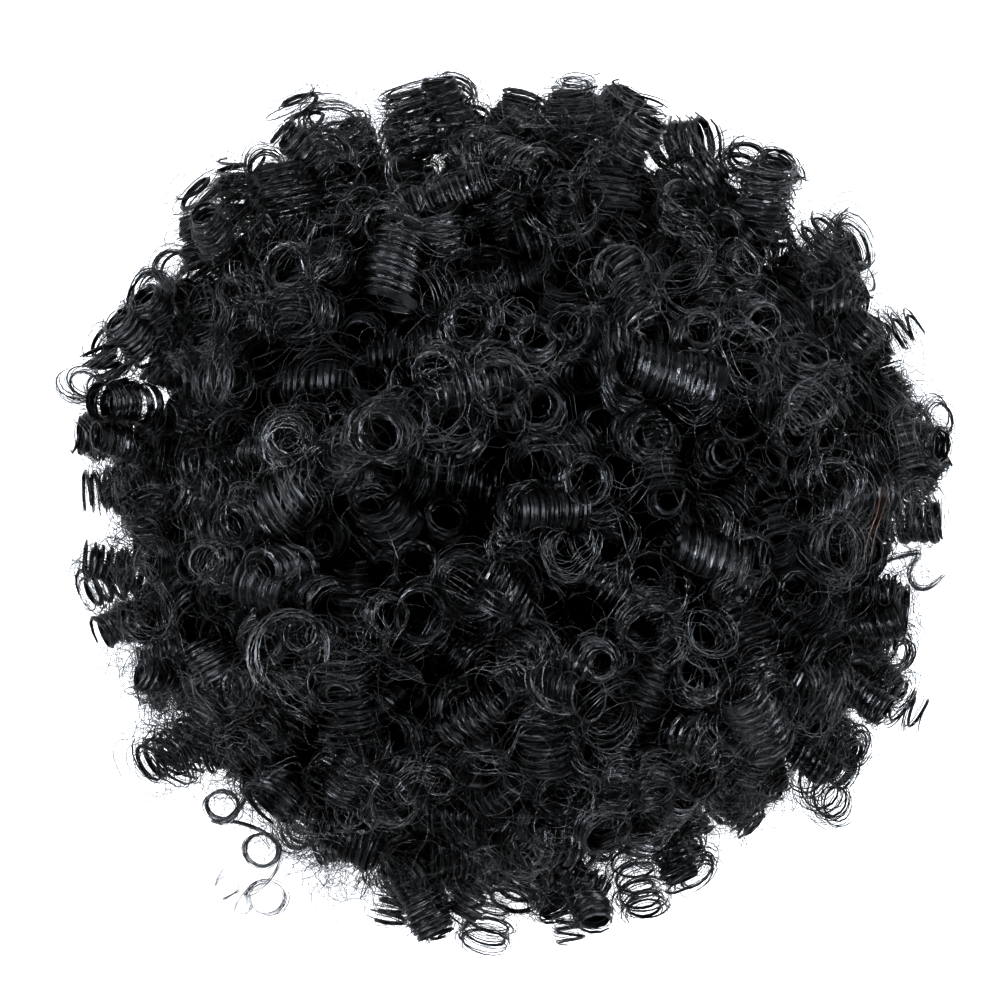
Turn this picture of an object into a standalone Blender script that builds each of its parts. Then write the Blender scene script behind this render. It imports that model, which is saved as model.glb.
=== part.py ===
"""Afro bun hairpiece: a dome of tight ringlets on a stretch cap that slips over a hair bun.

The piece stands on its opening. +Z runs up through the crown, -Y is the front comb, and the
origin is the middle of the opening, on the surface that the hairpiece rests on.
"""

import math
import random

import bmesh
import bpy
from mathutils import Matrix, Vector

# The puff of hair, measured over the tips of its ringlets
PUFF_RADIUS = 0.127
PUFF_HEIGHT = 0.138
WIDEST_HEIGHT = 0.050
FOOT_RADIUS = 0.110
CROWN_ROUNDNESS = 2.15

# The dense hair under the ringlets, set in from the outline and further in at the floor
MASS_DEPTH = 0.022
MASS_FOOT_DEPTH = 0.036
TURNED_STEPS = 28

# The locks, each a barrel of ringlet with open ends
LOCK_RADIUS = 0.0107
LOCK_LENGTH = 0.032
LOCK_BORE_DEPTH = 0.007
LOCK_SIDES = 7
LOCK_SPACING = 0.0286
LOCK_STAGGER = 0.004
LOCK_SPREAD_RATIO = 0.14
STANDING_LEAN_DEG = (4, 32)
LYING_LEAN_DEG = (58, 78)
LYING_EVERY = 4
FOOT_ROW_COUNT = 21
FOOT_ROW_DROP_DEG = 24
LAYOUT_SEED = 31

# The hollows between the tufts, where slow waves through space sink the locks: the way that each
# wave runs, and where in its turn it starts
HOLLOW_DEPTH = 0.014
HOLLOW_SPACING = 0.043
HOLLOW_WAVES = (
    ((0.75, 0.51, 0.41), 0.4),
    ((-0.49, 0.85, 0.21), 2.1),
    ((0.24, -0.41, 0.88), 3.9),
    ((0.62, -0.69, -0.38), 5.2),
    ((0.84, 0.22, -0.50), 1.3),
)

# The stretch cap that the hair is sewn to
CAP_RADIUS = 0.058
CAP_DEPTH = 0.058
CAP_WALL = 0.0015
CAP_ROUNDNESS = 2.4
CAP_RINGS = 6

# The elastic band round the opening
BAND_HEIGHT = 0.012
BAND_THICKNESS = 0.0026
BAND_EDGE = 0.0006

# The combs inside the band
COMB_WIDTH = 0.038
COMB_SPINE_DIAMETER = 0.0024
COMB_SPINE_HEIGHT = 0.0055
COMB_TEETH = 9
COMB_TOOTH_LENGTH = 0.019
COMB_TOOTH_DIAMETER = 0.0015
COMB_TOOTH_TIP_DIAMETER = 0.0009
COMB_TOOTH_LEAN_DEG = 5
COMB_SPINE_POINTS = 9

GAP = 0.0003
WELD = 0.00001

SYNTHETIC_BLACK = (0.010, 0.010, 0.011, 1.0)
NET_BLACK = (0.016, 0.016, 0.017, 1.0)
BAND_BLACK = (0.020, 0.020, 0.022, 1.0)
COMB_BLACK = (0.014, 0.014, 0.015, 1.0)


def clear_scene():
    """Removes whatever the file opened with."""
    for thing in list(bpy.data.objects):
        bpy.data.objects.remove(thing)


def collection(name):
    """A new collection in the scene."""
    made = bpy.data.collections.new(name)
    bpy.context.scene.collection.children.link(made)
    return made


def finish(name, colour, roughness):
    """A Principled material of one colour."""
    made = bpy.data.materials.new(name)
    made.use_nodes = True
    shader = made.node_tree.nodes["Principled BSDF"]
    shader.inputs["Base Color"].default_value = colour
    shader.inputs["Roughness"].default_value = roughness
    shader.inputs["Metallic"].default_value = 0.0
    return made


def place(name, mesh, home, material=None):
    """Puts a mesh in the scene as a named object."""
    made = bpy.data.objects.new(name, mesh)
    home.objects.link(made)
    if material:
        mesh.materials.append(material)
    return made


def hide_helper(helper):
    """Marks an object that only shapes another one."""
    helper.hide_render = True
    helper.display_type = "WIRE"


def turned(name, profile, home, closed, material=None):
    """A profile of (radius, height) pairs turned about Z. It runs down its outer side."""
    mesh = bpy.data.meshes.new(name)
    corners = [(radius, 0.0, height) for radius, height in profile]
    edges = [(i, i + 1) for i in range(len(corners) - 1)]
    if closed:
        edges.append((len(corners) - 1, 0))
    mesh.from_pydata(corners, edges, [])
    made = place(name, mesh, home, material)
    screw = made.modifiers.new("turn", "SCREW")
    screw.axis = "Z"
    screw.angle = math.tau
    screw.steps = TURNED_STEPS
    screw.render_steps = TURNED_STEPS
    screw.use_merge_vertices = True
    screw.merge_threshold = WELD
    screw.use_smooth_shade = True
    return made


def evaluated_mesh(thing):
    """The object's shape after its modifiers, as a mesh of its own with its caps welded."""
    graph = bpy.context.evaluated_depsgraph_get()
    mesh = bpy.data.meshes.new_from_object(thing.evaluated_get(graph))
    shape = bmesh.new()
    shape.from_mesh(mesh)
    bmesh.ops.remove_doubles(shape, verts=shape.verts, dist=WELD)
    shape.to_mesh(mesh)
    shape.free()
    return mesh


def join_solids(body, added):
    """Adds the solids of one object to another one as a single skin."""
    join = body.modifiers.new("join", "BOOLEAN")
    join.operation = "UNION"
    join.solver = "EXACT"
    join.use_self = True
    join.object = added


def dome_curve(radius, roundness, low, high, share):
    """A point of a superellipse, from the axis at share 0 down to its rim at share 1."""
    angle = share * math.pi / 2
    across = math.sin(angle) ** (2 / roundness)
    up = math.cos(angle) ** (2 / roundness)
    return radius * across, low + (high - low) * up


def puff_outline(inset, foot_inset, crown_steps, foot_steps):
    """The puff's side view from its top down to the floor, drawn in by two insets."""
    radius = PUFF_RADIUS - inset
    foot = FOOT_RADIUS - foot_inset
    outline = [
        dome_curve(radius, CROWN_ROUNDNESS, WIDEST_HEIGHT, PUFF_HEIGHT - inset, i / crown_steps)
        for i in range(crown_steps + 1)
    ]
    for i in range(1, foot_steps + 1):
        down = i / foot_steps
        outline.append((radius - (radius - foot) * down**2, WIDEST_HEIGHT * (1 - down)))
    return outline


def make_hair_mass(home):
    """The dense hair: a thick dome, hollow under the crown where the cap sits."""
    crown_steps = 9
    foot_steps = 3
    outer = puff_outline(MASS_DEPTH, MASS_FOOT_DEPTH, crown_steps, foot_steps)
    seat_radius = CAP_RADIUS + GAP
    seat_low = BAND_HEIGHT + GAP
    hollow = [
        dome_curve(seat_radius, CAP_ROUNDNESS, seat_low, CAP_DEPTH + GAP, 1 - i / CAP_RINGS)
        for i in range(CAP_RINGS + 1)
    ]
    return turned("hair_mass", [*outer, (seat_radius, 0.0), *hollow], home, False)


def lock_shape():
    """One lock about the origin, along Z: a barrel whose two ends are dished like a curl's bore."""
    shape = bmesh.new()
    bmesh.ops.create_cone(
        shape,
        cap_ends=True,
        segments=LOCK_SIDES,
        radius1=LOCK_RADIUS,
        radius2=LOCK_RADIUS,
        depth=LOCK_LENGTH,
    )
    ends = [face for face in shape.faces if len(face.verts) == LOCK_SIDES]
    bmesh.ops.poke(shape, faces=ends, offset=-LOCK_BORE_DEPTH)
    return shape


def outline_table():
    """The puff's outline in short steps: radius, height, and the area above each point."""
    line = puff_outline(0.0, 0.0, 120, 60)
    area = 0.0
    table = [(*line[0], area)]
    for (r0, z0), (r1, z1) in zip(line, line[1:]):
        area += math.pi * (r0 + r1) * math.hypot(r1 - r0, z1 - z0)
        table.append((r1, z1, area))
    return table


def lock_spots():
    """Where each lock meets the outline and which way is outwards.

    The dome is filled by the golden angle, and a row at the floor closes its foot.
    """
    table = outline_table()
    count = round(table[-1][2] / LOCK_SPACING**2)
    golden = math.pi * (3 - math.sqrt(5))
    row = 1
    for i in range(count):
        area = table[-1][2] * (i + 0.5) / count
        while table[row][2] < area:
            row += 1
        (r0, z0, a0), (r1, z1, a1) = table[row - 1], table[row]
        part = (area - a0) / (a1 - a0)
        run = Vector((r1 - r0, z1 - z0)).normalized()
        turn = Matrix.Rotation(i * golden, 3, "Z")
        spot = turn @ Vector((r0 + (r1 - r0) * part, 0.0, z0 + (z1 - z0) * part))
        outwards = turn @ Vector((-run.y, 0.0, run.x))
        yield spot, outwards
    drop = math.radians(FOOT_ROW_DROP_DEG)
    for i in range(FOOT_ROW_COUNT):
        turn = Matrix.Rotation(math.tau * i / FOOT_ROW_COUNT, 3, "Z")
        outwards = turn @ Vector((math.cos(drop), 0.0, -math.sin(drop)))
        yield turn @ Vector((FOOT_RADIUS, 0.0, LOCK_RADIUS)), outwards


def hollow_at(spot):
    """How deep the hair sinks at a place, as a share of the hollows' depth."""
    waves = [
        math.sin(math.tau * spot.dot(Vector(way)) / HOLLOW_SPACING + start)
        for way, start in HOLLOW_WAVES
    ]
    return min(1.0, max(0.0, 0.3 + sum(waves) / 3))


def lock_matrices():
    """Each lock's place: its far side is sunk from the outline, and it leans its own way."""
    chance = random.Random(LAYOUT_SEED)
    for i, (spot, outwards) in enumerate(lock_spots()):
        leans = STANDING_LEAN_DEG if i % LYING_EVERY else LYING_LEAN_DEG
        lean = math.radians(chance.uniform(*leans))
        heading = chance.uniform(0.0, math.tau)
        roll = chance.uniform(0.0, math.tau)
        sunk = chance.uniform(0.0, LOCK_STAGGER) + HOLLOW_DEPTH * hollow_at(spot)
        size = chance.uniform(1 - LOCK_SPREAD_RATIO, 1 + LOCK_SPREAD_RATIO)
        half_length = LOCK_LENGTH / 2 * size
        radius = LOCK_RADIUS * size
        base = outwards.to_track_quat("Z", "Y").to_matrix()
        turned_to = base @ Matrix.Rotation(heading, 3, "Z") @ Matrix.Rotation(lean, 3, "Y")
        axis = turned_to @ Vector((0.0, 0.0, 1.0))
        reach = half_length * math.cos(lean) + radius * math.sin(lean)
        centre = spot - outwards * (reach + sunk)
        drop = half_length * abs(axis.z) + radius * math.sqrt(1 - axis.z**2)
        centre.z = max(centre.z, drop)
        spun = turned_to @ Matrix.Rotation(roll, 3, "Z")
        yield Matrix.Translation(centre) @ spun.to_4x4() @ Matrix.Scale(size, 4)


def make_locks(home):
    """All the locks as one mesh of overlapping barrels."""
    single = bpy.data.meshes.new("lock")
    shape = lock_shape()
    shape.to_mesh(single)
    shape.free()
    all_locks = bmesh.new()
    for matrix in lock_matrices():
        single_copy = single.copy()
        single_copy.transform(matrix)
        all_locks.from_mesh(single_copy)
        bpy.data.meshes.remove(single_copy)
    mesh = bpy.data.meshes.new("locks")
    all_locks.to_mesh(mesh)
    all_locks.free()
    bpy.data.meshes.remove(single)
    return place("locks", mesh, home)


def outer_skin(mesh):
    """Drops the closed pockets that lie between crossing locks, and keeps the skin round them."""
    shape = bmesh.new()
    shape.from_mesh(mesh)
    bmesh.ops.remove_doubles(shape, verts=shape.verts, dist=WELD)
    waiting = set(shape.verts)
    skins = []
    while waiting:
        front = [waiting.pop()]
        skin = set(front)
        while front:
            corner = front.pop()
            for edge in corner.link_edges:
                other = edge.other_vert(corner)
                if other in waiting:
                    waiting.discard(other)
                    skin.add(other)
                    front.append(other)
        skins.append(skin)
    skins.sort(key=len, reverse=True)
    inner = [corner for skin in skins[1:] for corner in skin]
    bmesh.ops.delete(shape, geom=inner, context="VERTS")
    shape.to_mesh(mesh)
    shape.free()
    return mesh


def make_curls(home, helpers, material):
    """The hair as one body: the dense mass with every lock fused to it."""
    mass = make_hair_mass(helpers)
    body = place("mass_and_locks", evaluated_mesh(mass), helpers)
    locks = make_locks(helpers)
    join_solids(body, locks)
    mesh = outer_skin(evaluated_mesh(body))
    for helper in (mass, body, locks):
        hide_helper(helper)
    return place("curls", mesh, home, material)


def make_cap(home, material):
    """The stretch cap: a soft dome that stands on the band, open below."""
    low = BAND_HEIGHT + GAP
    outer = [
        dome_curve(CAP_RADIUS, CAP_ROUNDNESS, low, CAP_DEPTH, i / CAP_RINGS)
        for i in range(CAP_RINGS + 1)
    ]
    inside_radius = CAP_RADIUS - CAP_WALL
    inner = [
        dome_curve(inside_radius, CAP_ROUNDNESS, low, CAP_DEPTH - CAP_WALL, 1 - i / CAP_RINGS)
        for i in range(CAP_RINGS + 1)
    ]
    return turned("cap", [*outer, *inner], home, False, material)


def make_band(home, material):
    """The elastic band: a flat ring with eased edges, which the hairpiece stands on."""
    outer = CAP_RADIUS
    inner = CAP_RADIUS - BAND_THICKNESS
    top = BAND_HEIGHT
    edge = BAND_EDGE
    profile = [
        (inner + edge, top),
        (outer - edge, top),
        (outer, top - edge),
        (outer, edge),
        (outer - edge, 0.0),
        (inner + edge, 0.0),
        (inner, edge),
        (inner, top - edge),
    ]
    return turned("rim_band", profile, home, True, material)


def comb_spine(home, radius):
    """The comb's back: a round bar bent to the inside of the band."""
    data = bpy.data.curves.new("comb_spine", "CURVE")
    data.dimensions = "3D"
    data.bevel_depth = COMB_SPINE_DIAMETER / 2
    data.bevel_resolution = 1
    data.use_fill_caps = True
    line = data.splines.new("POLY")
    line.points.add(COMB_SPINE_POINTS - 1)
    half_angle = COMB_WIDTH / 2 / radius
    for i, point in enumerate(line.points):
        angle = half_angle * (2 * i / (COMB_SPINE_POINTS - 1) - 1)
        x, y = radius * math.sin(angle), -radius * math.cos(angle)
        point.co = (x, y, COMB_SPINE_HEIGHT, 1.0)
    spine = bpy.data.objects.new("comb_spine", data)
    home.objects.link(spine)
    return spine


def comb_teeth(home, radius):
    """The comb's teeth: slim cones that stand on the back and lean in from the cap."""
    shape = bmesh.new()
    half_angle = (COMB_WIDTH - COMB_TOOTH_DIAMETER) / 2 / radius
    for i in range(COMB_TEETH):
        angle = half_angle * (2 * i / (COMB_TEETH - 1) - 1)
        lean = Matrix.Rotation(-math.radians(COMB_TOOTH_LEAN_DEG), 4, "X")
        lift = Matrix.Translation((0.0, 0.0, COMB_TOOTH_LENGTH / 2))
        foot = Matrix.Translation((0.0, -radius, COMB_SPINE_HEIGHT))
        bmesh.ops.create_cone(
            shape,
            cap_ends=True,
            segments=6,
            radius1=COMB_TOOTH_DIAMETER / 2,
            radius2=COMB_TOOTH_TIP_DIAMETER / 2,
            depth=COMB_TOOTH_LENGTH,
            matrix=Matrix.Rotation(angle, 4, "Z") @ foot @ lean @ lift,
        )
    mesh = bpy.data.meshes.new("comb_teeth")
    shape.to_mesh(mesh)
    shape.free()
    return place("comb_teeth", mesh, home)


def make_comb(name, turn, home, helpers, material):
    """One comb, its teeth and back in one piece, turned about Z to its side of the band."""
    radius = CAP_RADIUS - BAND_THICKNESS - GAP - COMB_SPINE_DIAMETER / 2
    spine = comb_spine(helpers, radius)
    teeth = comb_teeth(helpers, radius)
    comb = place(name, evaluated_mesh(spine), home, material)
    bpy.data.objects.remove(spine)
    join_solids(comb, teeth)
    hide_helper(teeth)
    mesh = evaluated_mesh(comb)
    mesh.transform(Matrix.Rotation(turn, 4, "Z"))
    comb.modifiers.clear()
    comb.data = mesh
    return comb


def main():
    clear_scene()
    home = collection("afro_bun_hairpiece")
    helpers = collection("helpers")
    make_curls(home, helpers, finish("curls", SYNTHETIC_BLACK, 0.42))
    make_cap(home, finish("cap_net", NET_BLACK, 0.85))
    make_band(home, finish("elastic", BAND_BLACK, 0.9))
    comb_black = finish("comb", COMB_BLACK, 0.35)
    make_comb("comb_front", 0.0, home, helpers, comb_black)
    make_comb("comb_back", math.pi, home, helpers, comb_black)


main()
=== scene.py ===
"""Afro bun hairpiece: a dome of tight black ringlets on a stretch cap that slips over a bun.

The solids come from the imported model, and this script gives them their looks. Everything is in
metres with +Z up, and the photograph looks straight down on the crown, with +Y at its top. The
sections follow the hairpiece as it is made: cap, band and combs, then the hair from inside out.
"""

import math

import bpy
import numpy as np
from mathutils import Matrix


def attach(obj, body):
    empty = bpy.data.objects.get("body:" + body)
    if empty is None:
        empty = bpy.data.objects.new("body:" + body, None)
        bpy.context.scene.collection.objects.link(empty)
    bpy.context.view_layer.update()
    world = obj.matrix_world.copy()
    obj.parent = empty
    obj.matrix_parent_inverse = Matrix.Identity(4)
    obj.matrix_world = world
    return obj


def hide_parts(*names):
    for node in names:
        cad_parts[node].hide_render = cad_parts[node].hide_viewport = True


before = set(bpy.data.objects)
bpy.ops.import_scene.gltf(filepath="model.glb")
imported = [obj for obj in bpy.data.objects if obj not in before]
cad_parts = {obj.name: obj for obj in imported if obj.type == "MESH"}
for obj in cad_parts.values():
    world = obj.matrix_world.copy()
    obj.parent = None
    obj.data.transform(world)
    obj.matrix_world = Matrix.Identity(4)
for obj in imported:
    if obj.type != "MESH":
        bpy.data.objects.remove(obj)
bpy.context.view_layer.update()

# The studio: a plain pale sweep under a small soft box at each side, with weaker ones in front and
# behind. The picture is taken from straight above, far enough away that the sides hardly splay, and
# its tone curve keeps the darks deep.
photo_side = 1000
metres_per_pixel = 0.0002854
photo_centre = (505.0, 515.0)
camera_height = 1.30
widest_height = 0.050
sensor_width = 36.0
view_side = photo_side * metres_per_pixel
studio = bpy.context.scene

camera_data = bpy.data.cameras.new("camera")
camera_data.sensor_width = sensor_width
camera_data.lens = sensor_width * (camera_height - widest_height) / view_side
camera = bpy.data.objects.new("camera", camera_data)
camera.location = (
    (photo_side / 2 - photo_centre[0]) * metres_per_pixel,
    (photo_centre[1] - photo_side / 2) * metres_per_pixel,
    camera_height,
)
studio.collection.objects.link(camera)
studio.camera = camera
studio.view_settings.view_transform = "Standard"
studio.view_settings.exposure = 1.08
studio.view_settings.gamma = 0.70
studio.cycles.use_denoising = True
studio.cycles.max_bounces = 5

softbox_aim = np.array((0.0, 0.0, 0.06))
softbox_colour = (0.86, 0.92, 1.0)
# Each soft box: its place, its side in metres and its power in watts.
softboxes = {
    "softbox_left": ((-0.88, 0.14, 0.94), 0.44, 27.0),
    "softbox_right": ((0.88, 0.10, 0.94), 0.44, 27.0),
    "softbox_front": ((0.0, -1.10, 0.90), 0.40, 9.0),
    "softbox_back": ((0.0, 1.20, 0.90), 0.40, 9.0),
}


def add_softbox(name, place, side, power):
    """A square area light at a place, tilted and turned so that it looks at the puff's middle."""
    light = bpy.data.lights.new(name, "AREA")
    light.shape = "SQUARE"
    light.size = side
    light.energy = power
    light.color = softbox_colour
    made = bpy.data.objects.new(name, light)
    made.location = place
    back = np.array(place) - softbox_aim
    tilt = math.atan2(math.hypot(back[0], back[1]), back[2])
    made.rotation_euler = (tilt, 0.0, math.atan2(back[0], -back[1]))
    studio.collection.objects.link(made)


for softbox, (place, side, power) in softboxes.items():
    add_softbox(softbox, place, side, power)

# The room is a dim white for the hair and a full white for the camera, as a lit backdrop is.
room_fill = 0.06
backdrop_white = 1.0
world = bpy.data.worlds.new("studio")
world.use_nodes = True
room = world.node_tree
room.nodes["Background"].inputs["Color"].default_value = (1.0, 1.0, 1.0, 1.0)
room.nodes["Background"].inputs["Strength"].default_value = room_fill
backdrop = room.nodes.new("ShaderNodeBackground")
backdrop.inputs["Color"].default_value = (1.0, 1.0, 1.0, 1.0)
backdrop.inputs["Strength"].default_value = backdrop_white
light_path = room.nodes.new("ShaderNodeLightPath")
either = room.nodes.new("ShaderNodeMixShader")
room.links.new(light_path.outputs["Is Camera Ray"], either.inputs["Fac"])
room.links.new(room.nodes["Background"].outputs[0], either.inputs[1])
room.links.new(backdrop.outputs[0], either.inputs[2])
room.links.new(either.outputs[0], room.nodes["World Output"].inputs["Surface"])
studio.world = world

sweep_reach = 6.0
sweep_grey = 0.22
sweep_glow = 0.45
sweep_mesh = bpy.data.meshes.new("sweep")
sweep_mesh.from_pydata(
    [(x * sweep_reach, y * sweep_reach, 0.0) for x, y in ((-1, -1), (1, -1), (1, 1), (-1, 1))],
    [],
    [(0, 1, 2, 3)],
)
sweep = bpy.data.objects.new("sweep", sweep_mesh)
sweep_paper = bpy.data.materials.new("sweep_paper")
sweep_paper.use_nodes = True
paper = sweep_paper.node_tree.nodes["Principled BSDF"]
paper.inputs["Base Color"].default_value = (sweep_grey, sweep_grey, sweep_grey, 1.0)
paper.inputs["Roughness"].default_value = 0.9
paper.inputs["Emission Color"].default_value = (1.0, 1.0, 1.0, 1.0)
paper.inputs["Emission Strength"].default_value = sweep_glow
sweep_mesh.materials.append(sweep_paper)
studio.collection.objects.link(sweep)

# The cap: a dome of black stretch net, open below. The rows in which the hair is sewn to it stand
# out as thin ridges on its inside, which is seen from below.
cap_radius = 0.058
cap_wall = 0.0015
cap_low = 0.0123
cap_roundness = 2.4
cap_steps = 72
row_spacing = 0.0085
row_sharpness = 12
row_relief = 0.012
bare_crown = 0.01
full_turn = 2 * math.pi
floor_clearance = 0.0003
uv_margin = 0.02
# The scale at which a wave texture has one wave a unit.
one_wave = 0.314


def strip_faces(strips, along, across):
    """Four-cornered faces for strips laid one after another, each corner joined to the next."""
    corner = np.arange(strips * along * across).reshape(strips, along, across)
    rows = (corner[:, :-1, :-1], corner[:, 1:, :-1], corner[:, 1:, 1:], corner[:, :-1, 1:])
    return np.stack(rows, axis=-1).reshape(-1, 4)


def add_surface(name, parts, materials):
    """One mesh from parts: grids as (strips, along, across, xyz), their UVs and material numbers."""
    corners, faces, uvs, slots, start = [], [], [], [], 0
    for grid, uv, slot in parts:
        strips, along, across = grid.shape[:3]
        part_faces = strip_faces(strips, along, across) + start
        corners.append(grid.reshape(-1, 3))
        uvs.append(np.broadcast_to(uv, grid.shape[:3] + (2,)).reshape(-1, 2))
        faces.append(part_faces)
        slots.append(np.full(len(part_faces), slot))
        start += strips * along * across
    corners, faces, uvs, slots = (np.concatenate(x) for x in (corners, faces, uvs, slots))
    corners[:, 2] = np.maximum(corners[:, 2], floor_clearance)
    mesh = bpy.data.meshes.new(name)
    mesh.vertices.add(len(corners))
    mesh.vertices.foreach_set("co", corners.astype(np.float32).ravel())
    mesh.loops.add(faces.size)
    mesh.loops.foreach_set("vertex_index", faces.astype(np.int32).ravel())
    mesh.polygons.add(len(faces))
    mesh.polygons.foreach_set("loop_start", np.arange(0, faces.size, 4, dtype=np.int32))
    mesh.polygons.foreach_set("use_smooth", np.ones(len(faces), dtype=bool))
    mesh.polygons.foreach_set("material_index", slots.astype(np.int32))
    layer = mesh.uv_layers.new(name="OFBake")
    layer.data.foreach_set("uv", uvs[faces.ravel()].astype(np.float32).ravel())
    for material in materials:
        mesh.materials.append(material)
    mesh.update(calc_edges=True)
    made = bpy.data.objects.new(name, mesh)
    studio.collection.objects.link(made)
    return made


def turned_surface(profile_radius, profile_height, steps):
    """A profile turned about Z: radius times cosine and sine of the turn, and height, with UVs that
    run round in U and down the profile in V."""
    turn = np.linspace(0, full_turn, steps + 1)
    grid = np.stack((
        profile_radius[:, None] * np.cos(turn)[None, :],
        profile_radius[:, None] * np.sin(turn)[None, :],
        np.broadcast_to(profile_height[:, None], (len(profile_radius), steps + 1)),
    ), axis=-1)[None]
    way = np.cumsum(np.hypot(np.diff(profile_radius), np.diff(profile_height)))
    way = np.concatenate(([0.0], way / way[-1])) * (1 - 2 * uv_margin) + uv_margin
    around = np.linspace(uv_margin, 1 - uv_margin, steps + 1)
    return grid, np.stack(np.broadcast_arrays(around[None, None, :], way[None, :, None]), axis=-1)


def dome_profile(radius, low, top, rows):
    """Radius and height of a superellipse down a cap's dome, from its crown to its rim."""
    arch = np.linspace(0, math.pi / 2, rows)
    across = radius * np.sin(arch) ** (2 / cap_roundness)
    return across, low + (top - low) * np.cos(arch) ** (2 / cap_roundness)


def woven_material(name, colour, roughness, threads, depth):
    """Cloth of crossing threads: the higher of two waves over the UV map is both the relief and,
    times a slow noise, the colour from painted shade in the gaps to the lighter threads."""
    made = bpy.data.materials.new(name)
    made.use_nodes = True
    nodes = made.node_tree.nodes
    links = made.node_tree.links
    shader = nodes["Principled BSDF"]
    shader.inputs["Specular IOR Level"].default_value = 0.25
    uv = nodes.new("ShaderNodeUVMap")
    uv.uv_map = "OFBake"
    placed = nodes.new("ShaderNodeMapping")
    placed.inputs["Scale"].default_value = (threads[0], threads[1], 1.0)
    links.new(uv.outputs["UV"], placed.inputs["Vector"])
    crossed = nodes.new("ShaderNodeMath")
    crossed.operation = "MAXIMUM"
    for side, direction in enumerate(("X", "Y")):
        wave = nodes.new("ShaderNodeTexWave")
        wave.bands_direction = direction
        wave.inputs["Scale"].default_value = one_wave
        wave.inputs["Distortion"].default_value = 0.6
        links.new(placed.outputs["Vector"], wave.inputs["Vector"])
        links.new(wave.outputs["Fac"], crossed.inputs[side])
    fade = nodes.new("ShaderNodeTexNoise")
    fade.inputs["Scale"].default_value = 90.0
    place = nodes.new("ShaderNodeTexCoord")
    links.new(place.outputs["Object"], fade.inputs["Vector"])
    # Painted shade: the colour is darker in the gaps between the threads, where the relief is low.
    shade = nodes.new("ShaderNodeMath")
    shade.operation = "MULTIPLY"
    links.new(crossed.outputs[0], shade.inputs[0])
    links.new(fade.outputs["Fac"], shade.inputs[1])
    mixed = nodes.new("ShaderNodeMix")
    mixed.data_type = "RGBA"
    mixed.inputs["A"].default_value = tuple(c * 0.2 for c in colour) + (1,)
    mixed.inputs["B"].default_value = tuple(c * 2.4 for c in colour) + (1,)
    links.new(shade.outputs[0], mixed.inputs["Factor"])
    links.new(mixed.outputs["Result"], shader.inputs["Base Color"])
    shader.inputs["Roughness"].default_value = roughness
    relief = nodes.new("ShaderNodeBump")
    relief.inputs["Strength"].default_value = 1.0
    relief.inputs["Distance"].default_value = depth
    links.new(crossed.outputs[0], relief.inputs["Height"])
    links.new(relief.outputs["Normal"], shader.inputs["Normal"])
    return made


cap_inside = cap_radius - cap_wall
outer_radius, outer_height = dome_profile(cap_radius, cap_low, cap_radius, 30)
inner_radius, inner_height = dome_profile(cap_inside, cap_low, cap_inside, 120)
way = np.concatenate(([0.0], np.cumsum(np.hypot(np.diff(inner_radius), np.diff(inner_height)))))
ridge = np.maximum(0, np.cos(way / row_spacing * full_turn)) ** row_sharpness
ridge = ridge * np.clip(way / bare_crown, 0, 1)
inner_radius = inner_radius * (1 - row_relief * ridge)
inner_height = cap_low + (inner_height - cap_low) * (1 - row_relief * ridge)
cap_grid, cap_uv = turned_surface(
    np.concatenate((outer_radius, inner_radius[::-1])),
    np.concatenate((outer_height, inner_height[::-1])),
    cap_steps,
)
cap_net = woven_material("cap_net_black", (0.010, 0.010, 0.011), 0.8, (420.0, 150.0), 0.0003)
cap_piece = add_surface("cap_net", [(cap_grid, cap_uv, 0)], (cap_net,))
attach(cap_piece, "root")
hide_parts("cap")

# The rim band: ribbed elastic sewn round the opening, a little gathered, which the hairpiece
# stands on and which grips the bun.
band_height = 0.012
band_thickness = 0.0026
band_edge = 0.0006
band_steps = 140
rib_count = 8
rib_depth = 0.00012
gather_count = 35
gather_depth = 0.0016
gather_margin = 0.001
gather_fade = 0.002
band_inside = cap_radius - band_thickness

rib = np.linspace(0, 1, 48)
rib_rows = band_edge + (band_height - 2 * band_edge) * rib
ribbing = rib_depth * (1 - np.cos(rib * full_turn * rib_count))
band_radius = np.concatenate((
    cap_radius - ribbing,
    [cap_radius - band_edge, band_inside + band_edge],
    band_inside + ribbing,
    [band_inside + band_edge, cap_radius - band_edge, cap_radius],
))[::-1]
band_rows = np.concatenate((
    rib_rows, [band_height, band_height], rib_rows[::-1], [0.0, 0.0, band_edge],
))[::-1]
band_grid, band_uv = turned_surface(band_radius, band_rows, band_steps)
gather = gather_depth * np.abs(np.sin(np.linspace(0, full_turn, band_steps + 1) * gather_count))
narrow = np.clip((band_rows - gather_margin) / gather_fade, 0, 1)
narrow = narrow * np.clip((band_height - gather_margin - band_rows) / gather_fade, 0, 1)
band_grid[..., :2] *= (1 - gather[None, :] * narrow[:, None])[None, :, :, None]
elastic = woven_material("elastic_black", (0.014, 0.014, 0.015), 0.85, (500.0, 24.0), 0.0002)
band_piece = add_surface("ribbed_band", [(band_grid, band_uv, 0)], (elastic,))
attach(band_piece, "root")
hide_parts("rim_band")

# The combs: two small combs of moulded black plastic, sewn inside the band at its front and back.
# Their teeth stand up and lean in from the cap, and are round and blunt at their tips.
comb_width = 0.038
comb_gap = 0.0003
spine_radius = 0.0012
spine_height = 0.0055
tooth_count = 9
tooth_length = 0.019
tooth_lean = math.radians(5)
tooth_root_radius = 0.00075
tooth_tip_radius = 0.00045
comb_radius = band_inside - comb_gap - spine_radius


def unit(vectors):
    """The same directions at a length of one."""
    return vectors / np.linalg.norm(vectors, axis=-1, keepdims=True)


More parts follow.
